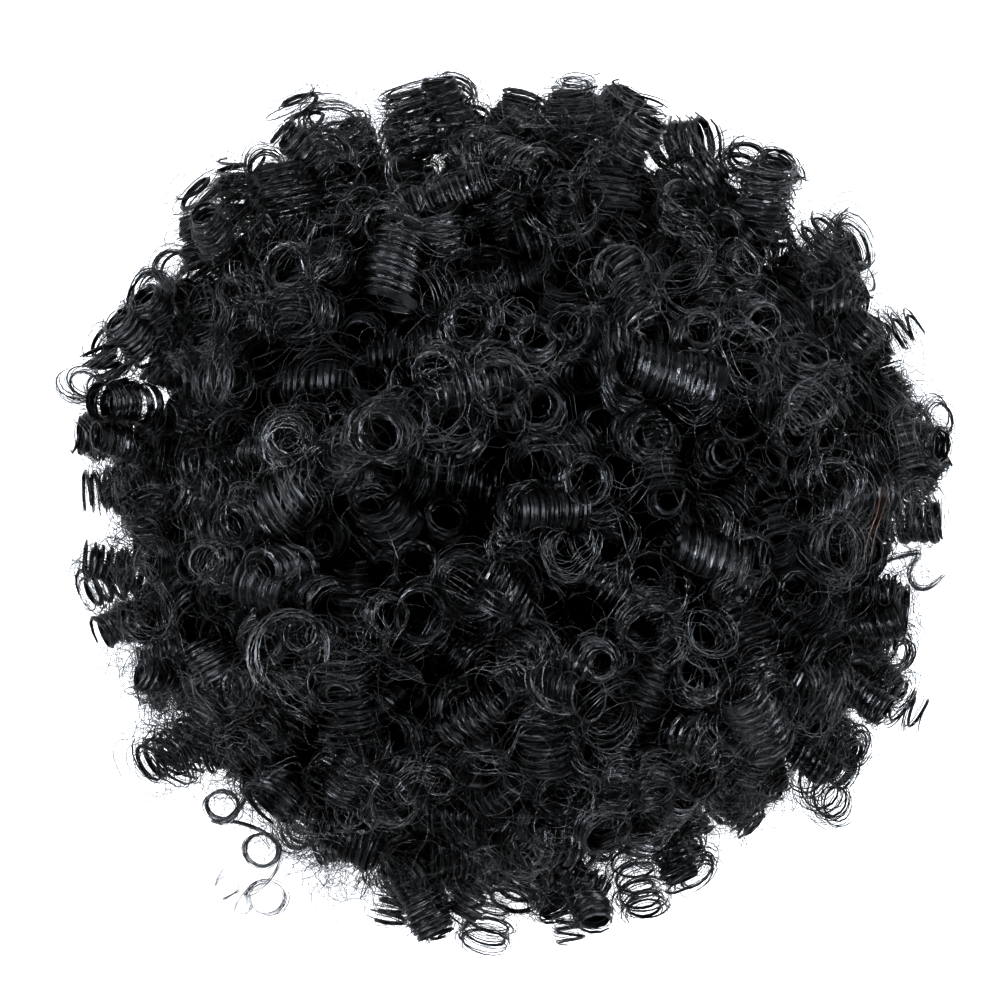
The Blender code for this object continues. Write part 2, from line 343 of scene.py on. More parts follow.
def tube(path, radius, sides):
    """A round bar: at each point of a path a circle of the radius there, square to the path. It is
    closed at both ends by a radius that runs to nothing."""
    ahead = unit(np.gradient(path, axis=0))
    side = unit(np.cross(ahead, unit(path * np.array((1.0, 1.0, 0.0)) + 1e-9)))
    up = np.cross(side, ahead)
    turn = np.linspace(0, full_turn, sides + 1)
    ring = side[:, None, :] * np.cos(turn)[None, :, None] + up[:, None, :] * np.sin(turn)[None, :, None]
    grid = path[:, None, :] + ring * radius[:, None, None]
    around = np.linspace(uv_margin, 1 - uv_margin, sides + 1)
    along = np.linspace(uv_margin, 1 - uv_margin, len(path))
    return grid[None], np.stack(np.broadcast_arrays(around[None, None, :], along[None, :, None]), axis=-1)


def blunt(share, radius, length):
    """A bar's radius at shares of its length, rounded off at both ends by a quarter circle."""
    near = np.minimum(share, 1 - share) * length / radius
    return radius * np.sqrt(np.clip(1 - (1 - np.clip(near, 0, 1)) ** 2, 0, 1))


def plastic_material(name, colour, shine, grain_scale, grain_depth):
    """Moulded plastic: a fine noise ranges its roughness and gives it a faint grain."""
    made = bpy.data.materials.new(name)
    made.use_nodes = True
    nodes = made.node_tree.nodes
    links = made.node_tree.links
    shader = nodes["Principled BSDF"]
    shader.inputs["Base Color"].default_value = colour + (1.0,)
    place = nodes.new("ShaderNodeTexCoord")
    grain = nodes.new("ShaderNodeTexNoise")
    grain.inputs["Scale"].default_value = grain_scale
    links.new(place.outputs["Object"], grain.inputs["Vector"])
    wear = nodes.new("ShaderNodeMapRange")
    wear.inputs["To Min"].default_value = shine[0]
    wear.inputs["To Max"].default_value = shine[1]
    links.new(grain.outputs["Fac"], wear.inputs["Value"])
    links.new(wear.outputs["Result"], shader.inputs["Roughness"])
    relief = nodes.new("ShaderNodeBump")
    relief.inputs["Distance"].default_value = grain_depth
    links.new(grain.outputs["Fac"], relief.inputs["Height"])
    links.new(relief.outputs["Normal"], shader.inputs["Normal"])
    return made


comb_plastic = plastic_material("comb_plastic", (0.012, 0.012, 0.013), (0.28, 0.46), 900.0, 0.00005)
spine_share = np.linspace(0, 1, 41)
bent = comb_width / 2 / comb_radius * (2 * spine_share - 1)
spine = np.stack((
    comb_radius * np.sin(bent), -comb_radius * np.cos(bent), np.full(len(bent), spine_height),
), axis=-1)
comb_parts = [tube(spine, blunt(spine_share, spine_radius, comb_width), 12) + (0,)]
tooth_share = np.linspace(0, 1, 14)
tooth_out = comb_radius - tooth_length * tooth_share * math.sin(tooth_lean)
tooth_rise = spine_height + tooth_length * tooth_share * math.cos(tooth_lean)
tooth_taper = tooth_root_radius + (tooth_tip_radius - tooth_root_radius) * tooth_share
tooth_tip = blunt(np.maximum(tooth_share, 0.5), tooth_tip_radius, tooth_length) / tooth_tip_radius
last_angle = (comb_width - 2 * tooth_root_radius) / 2 / comb_radius
for angle in np.linspace(-1, 1, tooth_count) * last_angle:
    tooth = np.stack((tooth_out * math.sin(angle), -tooth_out * math.cos(angle), tooth_rise), axis=-1)
    comb_parts.append(tube(tooth, tooth_taper * tooth_tip, 10) + (0,))
for node, flip in (("comb_front", 1.0), ("comb_back", -1.0)):
    half_turned = np.array((flip, flip, 1.0))
    turned_parts = [(grid * half_turned, uv, slot) for grid, uv, slot in comb_parts]
    comb_piece = add_surface(f"{node}_moulded", turned_parts, (comb_plastic,))
    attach(comb_piece, "root")
    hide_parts(node)

# The mass: the hair under the ringlets, coloured near black with no shine as painted shade between
# them. It's sewn to the cap in rows, seen from below, and is hollow where the cap and its band sit.
puff_radius = 0.123
puff_height = 0.134
foot_radius = 0.108
foot_from = 0.7
crown_roundness = 2.15
mass_depth = 0.024
mass_foot_depth = 0.016
mass_floor = 0.0012
mass_steps = 96
hollow_gap = 0.0004
fibres_in_pattern = 80
tones_along = 9.0
wavers_along = 50.0
sheen_stretch = 0.85
sheen_patch_scale = 48.0
fibre_relief = 0.00012
# How far the dense hair reaches from the middle, in mm, every 15 degrees round from the right.
dense_reach = np.array((
    115, 123, 120, 117, 114, 114, 113, 115, 119, 116, 115, 112, 111, 115, 114, 114, 112, 113, 106,
    110, 107, 113, 118, 118, 115,
)) / 1000


def outline_at(share):
    """Radius and height at a share of the puff's outline: a superellipse, then a foot drawn in."""
    crown = np.clip(share / foot_from, 0, 1) * math.pi / 2
    foot = np.clip((share - foot_from) / (1 - foot_from), 0, 1)
    radius = puff_radius * np.sin(crown) ** (2 / crown_roundness)
    radius = radius - (puff_radius - foot_radius) * foot**2
    rise = (puff_height - widest_height) * np.cos(crown) ** (2 / crown_roundness)
    return radius, widest_height * (1 - foot) + rise


def lobes_at(turn):
    """How far the dense hair reaches at turns round the puff, as a share of the puff's radius."""
    return np.interp(np.degrees(turn) % 360, np.arange(0, 361, 15), dense_reach) / puff_radius


def fibre_material(name, colour, specular, roughness):
    """Hair fibre: round strands side by side across the UV map. A noise gives each its own tone and
    shine, a slow noise through space dulls the shine in patches, and the relief is a wave across
    the strands plus a fine waver along them."""
    made = bpy.data.materials.new(name)
    made.use_nodes = True
    nodes = made.node_tree.nodes
    links = made.node_tree.links
    shader = nodes["Principled BSDF"]
    shader.inputs["Specular IOR Level"].default_value = specular
    shader.inputs["Anisotropic"].default_value = sheen_stretch
    uv = nodes.new("ShaderNodeUVMap")
    uv.uv_map = "OFBake"
    tangent = nodes.new("ShaderNodeTangent")
    tangent.direction_type = "UV_MAP"
    tangent.uv_map = "OFBake"
    links.new(tangent.outputs["Tangent"], shader.inputs["Tangent"])

    def pattern(kind, along):
        """A texture over the UV map, with one unit a fibre across it and so many units along it."""
        placed = nodes.new("ShaderNodeMapping")
        placed.inputs["Scale"].default_value = (fibres_in_pattern, along, 1.0)
        made_node = nodes.new(kind)
        links.new(uv.outputs["UV"], placed.inputs["Vector"])
        links.new(placed.outputs["Vector"], made_node.inputs["Vector"])
        made_node.inputs["Scale"].default_value = 1.0
        return made_node

    tone = pattern("ShaderNodeTexNoise", tones_along)
    waver = pattern("ShaderNodeTexNoise", wavers_along)
    for noise in (tone, waver):
        noise.noise_dimensions = "2D"
        noise.inputs["Detail"].default_value = 1.0
    round_strand = pattern("ShaderNodeTexWave", 4.0)
    round_strand.inputs["Scale"].default_value = one_wave
    round_strand.inputs["Phase Offset"].default_value = -math.pi / 2
    round_strand.inputs["Distortion"].default_value = 1.2

    def ranged(source, low, high):
        """A noise's middle range, stretched in a straight line from a low to a high value."""
        made_node = nodes.new("ShaderNodeMapRange")
        made_node.inputs["From Min"].default_value = 0.3
        made_node.inputs["From Max"].default_value = 0.7
        made_node.inputs["To Min"].default_value = low
        made_node.inputs["To Max"].default_value = high
        links.new(source.outputs["Fac"], made_node.inputs["Value"])
        return made_node.outputs["Result"]

    mixed = nodes.new("ShaderNodeMix")
    mixed.data_type = "RGBA"
    mixed.inputs["A"].default_value = tuple(c * 0.2 for c in colour) + (1,)
    mixed.inputs["B"].default_value = tuple(c * 1.8 for c in colour) + (1,)
    links.new(ranged(tone, 0.0, 1.0), mixed.inputs["Factor"])
    links.new(mixed.outputs["Result"], shader.inputs["Base Color"])
    place = nodes.new("ShaderNodeTexCoord")
    patches = nodes.new("ShaderNodeTexNoise")
    patches.inputs["Scale"].default_value = sheen_patch_scale
    links.new(place.outputs["Object"], patches.inputs["Vector"])
    dulled = nodes.new("ShaderNodeMath")
    dulled.operation = "MULTIPLY"
    links.new(ranged(tone, roughness * 1.4, roughness * 0.8), dulled.inputs[0])
    links.new(ranged(patches, 1.8, 0.7), dulled.inputs[1])
    links.new(dulled.outputs[0], shader.inputs["Roughness"])
    height = nodes.new("ShaderNodeMath")
    height.operation = "MULTIPLY_ADD"
    height.inputs[1].default_value = 0.8
    links.new(waver.outputs["Fac"], height.inputs[0])
    links.new(round_strand.outputs["Fac"], height.inputs[2])
    relief = nodes.new("ShaderNodeBump")
    relief.inputs["Strength"].default_value = 1.0
    relief.inputs["Distance"].default_value = fibre_relief
    links.new(height.outputs[0], relief.inputs["Height"])
    links.new(relief.outputs["Normal"], shader.inputs["Normal"])
    return made


outline_share = np.linspace(0.0, 1.0, 40)
radius, height = outline_at(outline_share)
foot = np.clip((outline_share - foot_from) / (1 - foot_from), 0, 1)
deep = mass_depth + (mass_foot_depth - mass_depth) * foot
outer_radius = radius * (1 - deep / puff_radius)
outer_height = np.maximum(height * (1 - mass_depth / puff_height), mass_floor)
hollow_radius = cap_radius + hollow_gap
under_radius = np.linspace(outer_radius[-1], hollow_radius, 9)[1:-1]
arch_turn = np.linspace(0, math.pi / 2, 20)
arch_radius = hollow_radius * np.cos(arch_turn) ** (2 / cap_roundness)
arch_height = cap_low + (hollow_radius - cap_low) * np.sin(arch_turn) ** (2 / cap_roundness)
mass_radius = np.concatenate((outer_radius, under_radius, [hollow_radius], arch_radius))
mass_height = np.concatenate((
    outer_height, np.full(len(under_radius), mass_floor), [mass_floor], arch_height,
))
turn = np.linspace(0, full_turn, mass_steps + 1)
lobed = np.where(np.arange(len(mass_radius)) < len(outer_radius), 1.0, 0.0)[:, None]
grow = lobed * lobes_at(turn)[None, :] + (1 - lobed)
mass_grid = np.stack((
    mass_radius[:, None] * grow * np.cos(turn)[None, :],
    mass_radius[:, None] * grow * np.sin(turn)[None, :],
    np.broadcast_to(mass_height[:, None], grow.shape),
), axis=-1)[None]
mass_uv = np.stack(np.broadcast_arrays(
    np.linspace(uv_margin, 1 - uv_margin, len(turn))[None, None, :],
    np.linspace(uv_margin, 1 - uv_margin, len(mass_radius))[None, :, None],
), axis=-1)
# Painted shade: the mass is coloured near black and has no specular.
painted_shade_mass = fibre_material("painted_shade_mass", (0.0003, 0.0003, 0.0003), 0.0, 0.8)
mass = add_surface("under_hair", [(mass_grid, mass_uv, 0)], (painted_shade_mass,))
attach(mass, "root")
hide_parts("curls")

# The ringlets: tight springs of heat-set synthetic fibre, each a clump of strands wound round
# and round and brushed out by hand. They are rooted in the mass and stand, lean or lie on it, and
# sink between the tufts, where less light reaches them and painted shade darkens their fibres.
golden_turn = math.pi * (3 - math.sqrt(5))
pattern_length = 0.20
hollow_depth = 0.012
hollow_spacing = 0.043
tightness = 2.0
clump_thickness = 0.50
core_arch = np.radians((-78.0, 0.0, 78.0))
core_depth_share = 0.55
core_inset = 0.0002
rim_low = 0.042
rim_low_draw = 0.5
rim_high_draw = 6
puff_heart = np.array((0.0, 0.0, 0.03))
skyward = np.array((0.0, 0.0, 0.8))
# How far the tips of the ringlets at the outline reach, in mm, every 10 degrees from the right.
tip_reach = np.array((
    123, 127, 132, 122, 128, 127, 122, 124, 124, 121, 125, 124, 128, 126, 122, 129, 132, 125, 119,
    127, 114, 122, 112, 109, 106, 113, 119, 111, 117, 119, 112, 114, 126, 128, 122, 117, 123,
)) / 1000
chance = np.random.default_rng(20)


def dome_at(share, turn):
    """Places on the puff at a share of its outline and a turn round it, and the way outwards, which
    is square to the outline's run there."""
    radius, height = outline_at(share)
    radius_on, height_on = outline_at(np.minimum(share + 0.002, 1.0))
    radius_back, height_back = outline_at(np.maximum(share - 0.002, 0.0))
    run = unit(np.stack((radius_on - radius_back, height_on - height_back), axis=-1))
    level = np.stack((np.cos(turn), np.sin(turn), np.zeros_like(turn)), axis=-1)
    up = np.array((0.0, 0.0, 1.0))
    spots = level * (radius * lobes_at(turn))[:, None] + up * height[:, None]
    return spots, level * -run[:, 1:] + up * run[:, :1]


def dome_spots(count, low=0.0, high=1.0, scatter=0.0):
    """Places spread evenly over the puff by the golden angle, between two shares of its area."""
    share = np.linspace(0, 1, 2001)
    radius, height = outline_at(share)
    step = np.hypot(np.diff(radius), np.diff(height))
    area = np.concatenate(([0.0], np.cumsum((radius[1:] + radius[:-1]) * step)))
    wanted = low + (high - low) * (np.arange(count) + 0.5) / count
    at = np.interp(wanted, area / area[-1], share)
    at = np.clip(at + chance.normal(0, scatter, count), 0.001, 0.999)
    turn = np.arange(count) * golden_turn + chance.normal(0, 1, count) * scatter * 2
    return dome_at(at, turn)


def hollow_at(spots):
    """How deep the hair sinks between its tufts, from 0 to 1: the sum of slow waves through space,
    cut off where it is high."""
    ways = np.array((
        (0.75, 0.51, 0.41), (-0.49, 0.85, 0.21), (0.24, -0.41, 0.88), (0.62, -0.69, -0.38),
        (0.84, 0.22, -0.50),
    ))
    starts = np.array((0.4, 2.1, 3.9, 5.2, 1.3))
    waves = np.sin(spots @ ways.T * full_turn / hollow_spacing + starts)
    return np.clip(0.3 + waves.sum(axis=1) / 3, 0, 1)


def proud_spots(count, kept):
    """Places on the tufts: the share of evenly spread places where the hair sinks the least."""
    spots, outwards = dome_spots(round(count / kept), scatter=0.012)
    proud = np.argsort(hollow_at(spots))[:count]
    return spots[proud], outwards[proud]


def lay_ringlets(middle, axis, length, radius, pitch, loose, depth, turns=None):
    """One row a ringlet: its outer end, its axis, two directions across it, and how it winds. Its
    turns are its length over its pitch, unless they are given."""
    count = len(middle)
    first = unit(np.cross(axis, chance.normal(size=(count, 3))))
    second = np.cross(axis, first)
    way = chance.uniform(0, full_turn, count)[:, None]
    across = first * np.cos(way) + second * np.sin(way)
    return {
        "tip": middle + axis * (length / 2)[:, None],
        "axis": axis,
        "first": first,
        "second": second,
        "length": length,
        "radius": radius,
        "turns": length / pitch if turns is None else turns,
        "pitch": pitch,
        "loose": loose,
        "depth": depth,
        "hand": np.where(chance.random(count) < 0.5, 1.0, -1.0),
        "start": chance.uniform(0, full_turn, count),
        "flare": chance.uniform(-0.35, 0.25, count),
        "bend": across * chance.uniform(0, 0.006, count)[:, None],
        "uneven": chance.uniform(0.03, 0.11, count) + 0.08 * loose,
        "sway_rate": chance.uniform(6, 22, count),
        "sway_start": chance.uniform(0, full_turn, count),
        "oval": chance.uniform(-0.10, 0.10, count),
    }


def face_away(middle, half_width):
    """Ribbons along paths, their width square to the path and to the way up and out of the puff,
    which their faces point to."""
    away = unit(middle.mean(axis=1, keepdims=True) - puff_heart)
    away = away + skyward + chance.normal(0, 0.25, (len(middle), 1, 3))
    across = unit(np.cross(np.gradient(middle, axis=1), away))
    edges = half_width[..., None] * np.array((1.0, -1.0))
    return middle[:, :, None, :] + across[:, :, None, :] * edges[..., None]


def wind(ringlet, pick, share, rise, lift, roll, half_width, aside=0.0):
    """Corners of ribbons wound on ringlets, as (ribbons, points, edges, xyz).

    A point lies on its ringlet's helix at a share of the length, raised along the axis, lifted
    out from it and set aside as a whole. The ribbon's width is rolled from the axis to the way
    out, and its sign is the helix's hand, so that its face points outwards. Without a roll the
    ribbon is turned to face away from the puff.
    """
    def own(key):
        """What each ribbon's ringlet has under a key, as a column."""
        return ringlet[key][pick][:, None]

    back = 1 - share
    turned = own("start") + own("hand") * own("turns") * full_turn * share
    sway = share * own("sway_rate") + own("sway_start")
    radius = own("radius") * (1 - own("flare") * back + own("uneven") * np.sin(sway)) + lift
    rise = rise + own("pitch") * own("uneven") * 1.6 * np.cos(1.7 * sway)
    out = (
        own("first") * (np.cos(turned) * (1 + own("oval")))[..., None]
        + own("second") * (np.sin(turned) * (1 - own("oval")))[..., None]
    )
    centre = own("tip") - own("axis") * (own("length") * back)[..., None]
    centre = centre + own("bend") * (back**2)[..., None] + aside
    middle = centre + out * radius[..., None] + own("axis") * rise[..., None]
    if roll is None:
        return face_away(middle, half_width)
    across = own("axis") * np.cos(roll)[..., None] + out * np.sin(roll)[..., None]
    edges = (own("hand") * half_width)[..., None] * np.array((-1.0, 1.0))
    return middle[:, :, None, :] + across[:, :, None, :] * edges[..., None]


def fibre_uv(grid, fibres):
    """UVs of strips that show some fibres each: fibres side by side in U, and in V the way along
    the strip as a share of the pattern's length, from a start of the strip's own."""
    strips, across = grid.shape[0], grid.shape[2]
    left = chance.integers(0, fibres_in_pattern - fibres, strips) / fibres_in_pattern
    u = left[:, None] + np.linspace(0, fibres / fibres_in_pattern, across)[None, :]
    way = np.cumsum(np.linalg.norm(np.diff(grid.mean(axis=2), axis=1), axis=-1), axis=1)
    way = np.concatenate((np.zeros((strips, 1)), way), axis=1) / pattern_length
    way = way * np.minimum(1, 0.9 / way[:, -1:])
    v = way + (1 - uv_margin - way[:, -1:]) * chance.random((strips, 1))
    return np.stack(np.broadcast_arrays(u[:, None, :], v[:, :, None]), axis=-1)


def waver_at(share, amount, rate):
    """A slow sine along each strip, with its own height and start."""
    strips = len(share)
    high = amount * chance.uniform(0.3, 1, strips)
    return high[:, None] * np.sin(share * rate + chance.uniform(0, full_turn, strips)[:, None])


def clump_core(ringlet, points, thickness):
    """The body of each ringlet's clump: an arched strip of three corners wound on the helix, thin at
    its tip. Its half height is a share of the pitch, less in a loose ringlet, and has the sign of the
    helix's hand, so that its faces point outwards."""
    count = len(ringlet["length"])
    everyone = np.arange(count)
    share = np.broadcast_to(np.linspace(0, 1, points), (count, points))
    ends = np.minimum(1, (1 - share) * 7 + 0.1) ** 0.6
    half_height = ringlet["pitch"][:, None] * thickness * (1 - 0.4 * ringlet["loose"][:, None]) * ends
    half_height = half_height * ringlet["hand"][:, None]
    no_width = np.zeros_like(share)
    depth = ringlet["depth"][:, None] * core_depth_share * ends
    rows = [
        wind(ringlet, everyone, share, half_height * np.sin(angle),
             depth * (np.cos(angle) - 1) - core_inset, no_width, no_width)[:, :, :1]
        for angle in core_arch
    ]
    grid = np.concatenate(rows, axis=2)
    return grid, fibre_uv(grid, 10), 0


def clump_strands(ringlet, each, points, span, thickness, widths, spread, fibres, slot):
    """Ribbons on each ringlet's clump: they follow the helix, wander over the clump's oval section
    by an angle and a distance, and cover a span of its length up to near its tip. Wisps of some
    fibres lie flat on the clump, and single fibres are turned to face away from the puff."""
    pick = np.arange(len(ringlet["length"])).repeat(each)
    strips = len(pick)
    long = chance.uniform(*span, strips)
    top = 1 - chance.uniform(0, 1, strips) ** 2 * (1 - long)
    share = top[:, None] - long[:, None] * np.linspace(1, 0, points)[None, :]
    loose = ringlet["loose"][pick][:, None]
    angle = chance.uniform(-1.5, 1.5, strips)[:, None] + waver_at(share, 0.6, 9.0)
    far = 1 + np.abs(chance.normal(0, spread, strips))[:, None] * (1 + 3 * loose)
    half_height = ringlet["pitch"][pick][:, None] * thickness * far
    depth = ringlet["depth"][pick][:, None]
    half_depth = depth * far
    roll = np.arctan2(-half_depth * np.sin(angle), half_height * np.cos(angle))
    roll = roll + chance.normal(0, 0.22, strips)[:, None]
    if fibres == 1:
        roll = None
    ends = np.minimum(1, np.minimum(share - share[:, :1], share[:, -1:] - share) * 14 + 0.15)
    width = chance.uniform(*widths, strips)[:, None] / 2 * ends
    aside = chance.normal(0, 1, (strips, 1, 3)) * (0.0002 + 0.0012 * loose)[..., None]
    grid = wind(
        ringlet, pick, share, half_height * np.sin(angle),
        half_depth * np.cos(angle) - depth, roll, width, aside,
    )
    return grid, fibre_uv(grid, fibres), slot


def ringlet_parts(ringlet, points):
    """A ringlet's clump in three layers: its body, flat wisps of fibres on it, and single fibres."""
    return [
        clump_core(ringlet, points, clump_thickness),
        clump_strands(
            ringlet, 3, points, (0.85, 1.0), clump_thickness, (0.0005, 0.0009), 0.10, 3, 1,
        ),
        clump_strands(
            ringlet, 6, points // 2, (0.25, 0.6), clump_thickness, (0.00016, 0.00026), 0.65, 1, 2,
        ),
    ]


def spread_ringlets(count, lean, length, radius, sink):
    """Ringlets over the whole puff, each leaning its own way, in degrees, from the way outwards. Its
    middle is as deep as puts its outer end at the surface, and then sinks with the hollows."""
    spots, outwards = dome_spots(count, scatter=0.012)
    side = unit(np.cross(outwards, chance.normal(size=(count, 3))))
    lean = np.radians(chance.uniform(*lean, count))
    length = chance.uniform(*length, count)
    radius = chance.uniform(*radius, count)
    axis = outwards * np.cos(lean)[:, None] + side * np.sin(lean)[:, None]
    deep = length / 2 * np.cos(lean) + radius * np.sin(lean) + chance.uniform(*sink, count)
    deep = deep + hollow_depth * hollow_at(spots)
    pitch = chance.uniform(0.0021, 0.0031, count)
    return lay_ringlets(
        spots - outwards * deep[:, None], axis, length, radius, pitch,
        chance.random(count) ** tightness, chance.uniform(0.0008, 0.0012, count),
    )


def rim_ringlets(count):
    """Ringlets round the outline, lying outwards, whose tips reach a little past the dense hair.
    They are drawn in above the widest part, and below it, where they root further in."""
    turn = np.arange(count) * golden_turn + chance.normal(0, 0.1, count)
    height = chance.uniform(0.020, 0.085, count)
    level = np.stack((np.cos(turn), np.sin(turn), np.zeros(count)), axis=-1)
    side = np.stack((-np.sin(turn), np.cos(turn), np.zeros(count)), axis=-1)
    up = np.array((0.0, 0.0, 1.0))
    swung = chance.normal(0, 0.4, count)[:, None]
    raised = chance.uniform(-0.2, 0.9, count)[:, None]
    axis = unit(level + side * swung + up * raised)
    length = chance.uniform(0.010, 0.018, count)
    reach = np.interp(np.degrees(turn) % 360, np.arange(0, 361, 10), tip_reach)
    reach = reach + chance.uniform(-0.007, 0.003, count)
    reach = reach - np.maximum(0, height - widest_height) ** 2 * rim_high_draw
    reach = reach - np.maximum(0, rim_low - height) * rim_low_draw
    middle = level * reach[:, None] + up * height[:, None] - axis * (length / 2)[:, None]
    return lay_ringlets(
        middle, axis, length + 0.002, chance.uniform(0.0046, 0.0064, count),
        chance.uniform(0.0018, 0.0029, count), chance.random(count) ** 1.3,
        chance.uniform(0.0009, 0.0015, count),
    )


# Each fibre: its colour, its specular level and its roughness. The sunk ones, for the hollows, are
# darker and duller copies: painted shade.
# Painted shade: the core's colour is darker and its shine lower than the wisps', as shade under them.
painted_shade_core_fibre = fibre_material("painted_shade_core_fibre", (0.0003, 0.0003, 0.0004), 0.24, 0.27)
outer_fibre = fibre_material("outer_fibre", (0.0005, 0.0005, 0.0006), 0.78, 0.23)
loose_fibre = fibre_material("loose_fibre", (0.0008, 0.0008, 0.0009), 0.66, 0.25)
painted_shade_sunk_core_fibre = fibre_material("painted_shade_sunk_core_fibre", (0.0002, 0.0002, 0.0003), 0.09, 0.30)
painted_shade_sunk_outer_fibre = fibre_material("painted_shade_sunk_outer_fibre", (0.0003, 0.0003, 0.0004), 0.38, 0.26)
painted_shade_sunk_loose_fibre = fibre_material("painted_shade_sunk_loose_fibre", (0.0004, 0.0004, 0.0005), 0.36, 0.28)
proud_fibres = (painted_shade_core_fibre, outer_fibre, loose_fibre)
painted_shade_sunk_fibres = (painted_shade_sunk_core_fibre, painted_shade_sunk_outer_fibre, painted_shade_sunk_loose_fibre)

# Each group: its ringlets, the points along each of their strands, and the fibres of its pieces.
# A group of two pieces has its prouder half in the first and its more sunk half in the second,
# whose fibres are darker copies as painted shade.
standing = spread_ringlets(400, (0, 45), (0.012, 0.016), (0.0046, 0.0078), (-0.002, 0.006))
lying = spread_ringlets(140, (60, 95), (0.016, 0.026), (0.0050, 0.0074), (-0.003, 0.004))
rim = rim_ringlets(84)
ringlet_groups = {
    "standing": (standing, 56, (proud_fibres, painted_shade_sunk_fibres)),
    "lying": (lying, 80, (proud_fibres, painted_shade_sunk_fibres)),
    "rim": (rim, 68, (proud_fibres,)),
}
for group, (ringlets, points, pieces) in ringlet_groups.items():
    order = np.argsort(hollow_at(ringlets["tip"]))
    for number, members in enumerate(np.array_split(order, len(pieces))):
        chosen = {key: value[members] for key, value in ringlets.items()}
        piece = add_surface(
            f"ringlets_{group}_{number + 1}", ringlet_parts(chosen, points), pieces[number],
        )
        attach(piece, "root")
        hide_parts("curls")

# The wisps: clumps that have come undone on the tufts. Each is some fibres that still curve side
# by side, through a turn or less, with their roots in the hair.
wisp_count = 260
wisp_sink = 0.014
spots, outwards = proud_spots(wisp_count, 0.6)
sunk = chance.uniform(0.0, 0.007, wisp_count) + wisp_sink * hollow_at(spots)
wisps = lay_ringlets(
    spots - outwards * sunk[:, None],
    unit(outwards + chance.normal(0, 0.55, (wisp_count, 3))),
    chance.uniform(0.001, 0.005, wisp_count),
    chance.uniform(0.0045, 0.0095, wisp_count),
    chance.uniform(0.0035, 0.0065, wisp_count),
    chance.uniform(0.1, 0.6, wisp_count),
    np.full(wisp_count, 0.0012),
    chance.uniform(0.35, 1.2, wisp_count),
)
wisp_piece = add_surface(
    "wisps",
    [clump_strands(wisps, 9, 18, (0.6, 1.0), 0.40, (0.00020, 0.00030), 0.45, 1, 0)],
    (loose_fibre,),
)
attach(wisp_piece, "root")
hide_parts("curls")

# The strays: ringlets that stick out of the outline, thin enough to see the paper through. Each
# row has its middle in the photograph (pixels), its height and half its width (mm), the way its
# axis points (degrees round, degrees up), its turns, its length and its clump's breadth (mm), and
# how far off its root is (pixels across, pixels up).
strays = np.array((
    (77, 383, 46, 5.0, 180, 80, 2.6, 3.0, 0.9, 34, -8),
    (103, 345, 52, 5.0, 150, 45, 2.6, 4.0, 1.6, 30, 0),
    (97, 437, 44, 6.6, 200, 25, 3.2, 8.0, 1.2, 30, 0),
    (108, 488, 38, 5.8, 185, 10, 4.5, 16.0, 1.4, 20, 5),
    (104, 583, 46, 6.0, 200, 30, 3.5, 12.0, 2.2, 20, 0),
    (150, 290, 60, 5.0, 150, 70, 3.0, 5.0, 0.9, 30, -12),
    (172, 268, 55, 5.6, 140, 60, 2.6, 5.0, 0.8, 30, -10),
    (140, 318, 40, 5.2, 165, 30, 3.0, 8.0, 1.3, 24, -6),
    (207, 202, 58, 6.2, 135, 20, 3.6, 13.0, 2.4, 14, -14),
    (264, 168, 52, 5.7, 90, 78, 2.6, 4.0, 1.0, 8, -30),
    (236, 192, 46, 5.2, 110, 65, 2.4, 4.0, 1.1, 16, -22),
    (305, 112, 50, 5.6, 115, 20, 3.4, 11.0, 2.0, 10, -18),
    (330, 120, 44, 6.4, 80, 60, 3.0, 6.0, 1.0, 6, -28),
    (407, 110, 50, 5.8, 100, 15, 4.0, 12.0, 2.2, 4, -16),
    (458, 92, 48, 5.0, 90, 42, 3.0, 7.0, 1.1, 2, -26),
    (577, 90, 46, 4.0, 88, 32, 3.0, 8.0, 0.6, 0, -20),
    (575, 122, 56, 7.0, 92, 18, 5.5, 20.0, 3.0, 0, -10),
    (638, 114, 48, 5.4, 70, 25, 3.4, 10.0, 1.5, -8, -20),
    (745, 158, 54, 5.6, 60, 55, 3.0, 7.0, 1.8, -12, -18),
    (781, 178, 44, 5.2, 48, 20, 3.4, 11.0, 1.8, -14, -14),
    (848, 244, 46, 7.0, 35, 48, 3.6, 9.0, 0.8, -26, -14),
    (822, 236, 52, 6.0, 40, 30, 2.8, 8.0, 1.2, -18, -12),
    (897, 334, 44, 4.8, 28, 12, 4.0, 14.0, 1.4, -18, -8),
    (936, 420, 40, 4.6, 15, 40, 2.4, 8.0, 0.7, -28, -2),
    (914, 508, 44, 4.8, 5, 35, 2.8, 8.0, 1.5, -20, 0),
    (900, 655, 42, 5.2, 340, 58, 3.2, 7.0, 0.9, -26, 4),
    (905, 708, 34, 5.4, 335, 15, 3.4, 13.0, 1.2, -18, 8),
    (852, 745, 46, 5.4, 325, 50, 2.8, 7.0, 1.1, -20, 12),
    (832, 800, 34, 5.6, 315, 55, 3.2, 8.0, 1.0, -34, 30),
    (694, 868, 40, 5.4, 300, 45, 3.2, 9.0, 1.1, -14, 24),
    (641, 900, 40, 5.6, 285, 35, 3.2, 9.0, 1.3, -8, 28),
    (570, 922, 42, 4.8, 272, 8, 3.4, 13.0, 1.0, 0, 24),
    (485, 934, 34, 6.6, 265, 38, 3.2, 7.0, 0.8, 6, 40),
    (395, 903, 44, 5.8, 255, 12, 3.6, 13.0, 1.8, 6, 18),
    (300, 830, 40, 5.2, 235, 60, 2.8, 6.0, 1.1, 18, 24),
    (158, 757, 46, 5.6, 215, 35, 3.4, 10.0, 2.0, 18, 12),
    (160, 690, 42, 5.0, 200, 25, 3.2, 11.0, 1.6, 18, 6),
))
stray_turns_more = 1.4
stray_breadth_more = 1.2
stray_pitch_ratio = 0.8
stray_depth_ratio = 0.9
stray_flare_share = 0.6
stray_oval_more = 1.6
stray_root_reach = 0.104


